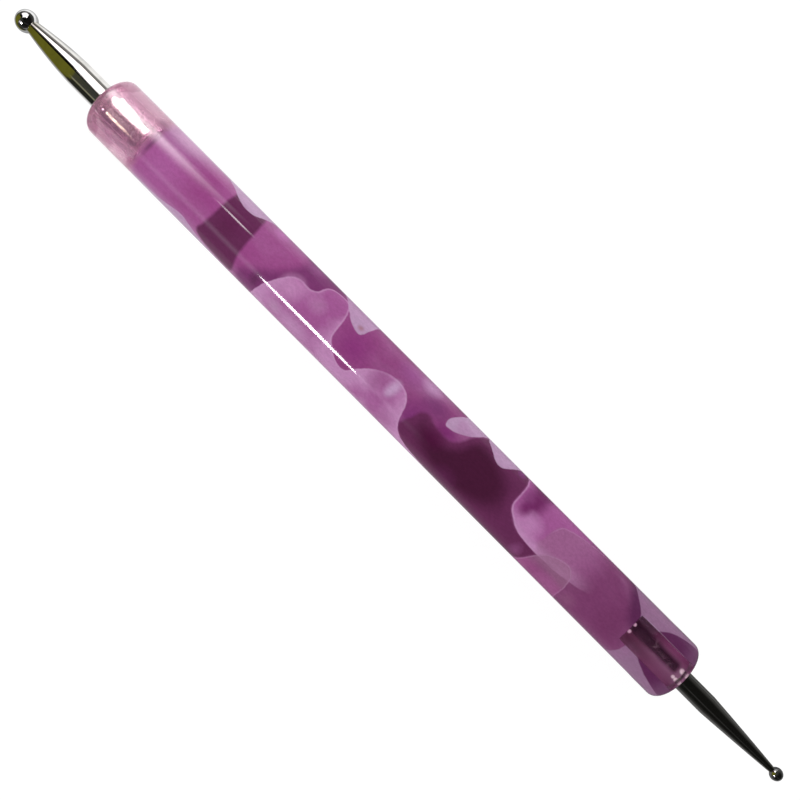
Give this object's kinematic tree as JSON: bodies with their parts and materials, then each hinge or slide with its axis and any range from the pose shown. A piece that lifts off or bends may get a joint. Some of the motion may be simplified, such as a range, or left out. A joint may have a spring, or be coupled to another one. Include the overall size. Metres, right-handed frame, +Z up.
{
  "type": "embossing stylus",
  "caption": "Double-ended embossing stylus: round marbled acrylic barrel with a larger steel ball tip glued in at one end and a smaller one at the other.",
  "frame": {"origin": "on the barrel's axis, halfway between its two end faces", "axes": "+X along the tool towards the small ball, +Z up from the table that the barrel lies on, +Y completes the right-handed frame"},
  "size_m": [0.1291, 0.008, 0.008],
  "materials": {
    "marbled_acrylic": "polished cast acrylic with a pearly marbling in plum, magenta, orchid and pale lilac, translucent at its ends",
    "polished_steel": "turned and polished, with faint turning marks along the taper",
    "ball_steel": "mirror-polished bearing ball",
    "adhesive": "clear cured adhesive with small bubbles"
  },
  "bodies": {
    "root": {"barrel": "marbled_acrylic", "large_shank": "polished_steel", "large_ball": "ball_steel", "large_adhesive": "adhesive", "small_shank": "polished_steel", "small_ball": "ball_steel", "small_adhesive": "adhesive"}
  },
  "joints": []
}
